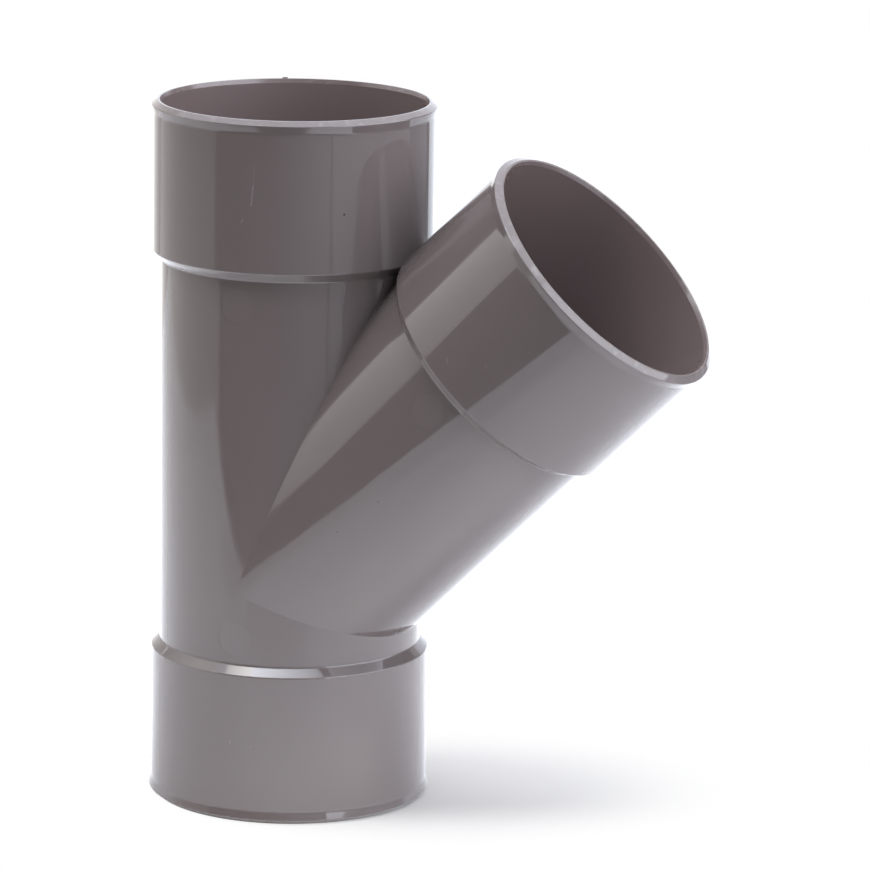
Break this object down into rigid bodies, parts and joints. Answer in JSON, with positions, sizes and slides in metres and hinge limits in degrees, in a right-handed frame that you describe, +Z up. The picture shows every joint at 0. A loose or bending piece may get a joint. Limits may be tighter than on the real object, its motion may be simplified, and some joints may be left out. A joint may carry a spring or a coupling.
{
  "type": "lateral wye fitting",
  "caption": "Grey plastic drain wye with a 45 degree lateral branch; every end is a stepped socket that a pipe is cemented into.",
  "frame": {"origin": "centre of the lower socket's mouth, on the plane of the rim that the fitting stands on", "axes": "+Z up the straight run, towards the upper socket; the branch leans from it towards +X at 45 degrees"},
  "size_m": [0.2392, 0.1182, 0.2951],
  "materials": {
    "grey_pvc": "satin gloss"
  },
  "bodies": {
    "root": {"wye_body": "grey_pvc"}
  },
  "joints": []
}
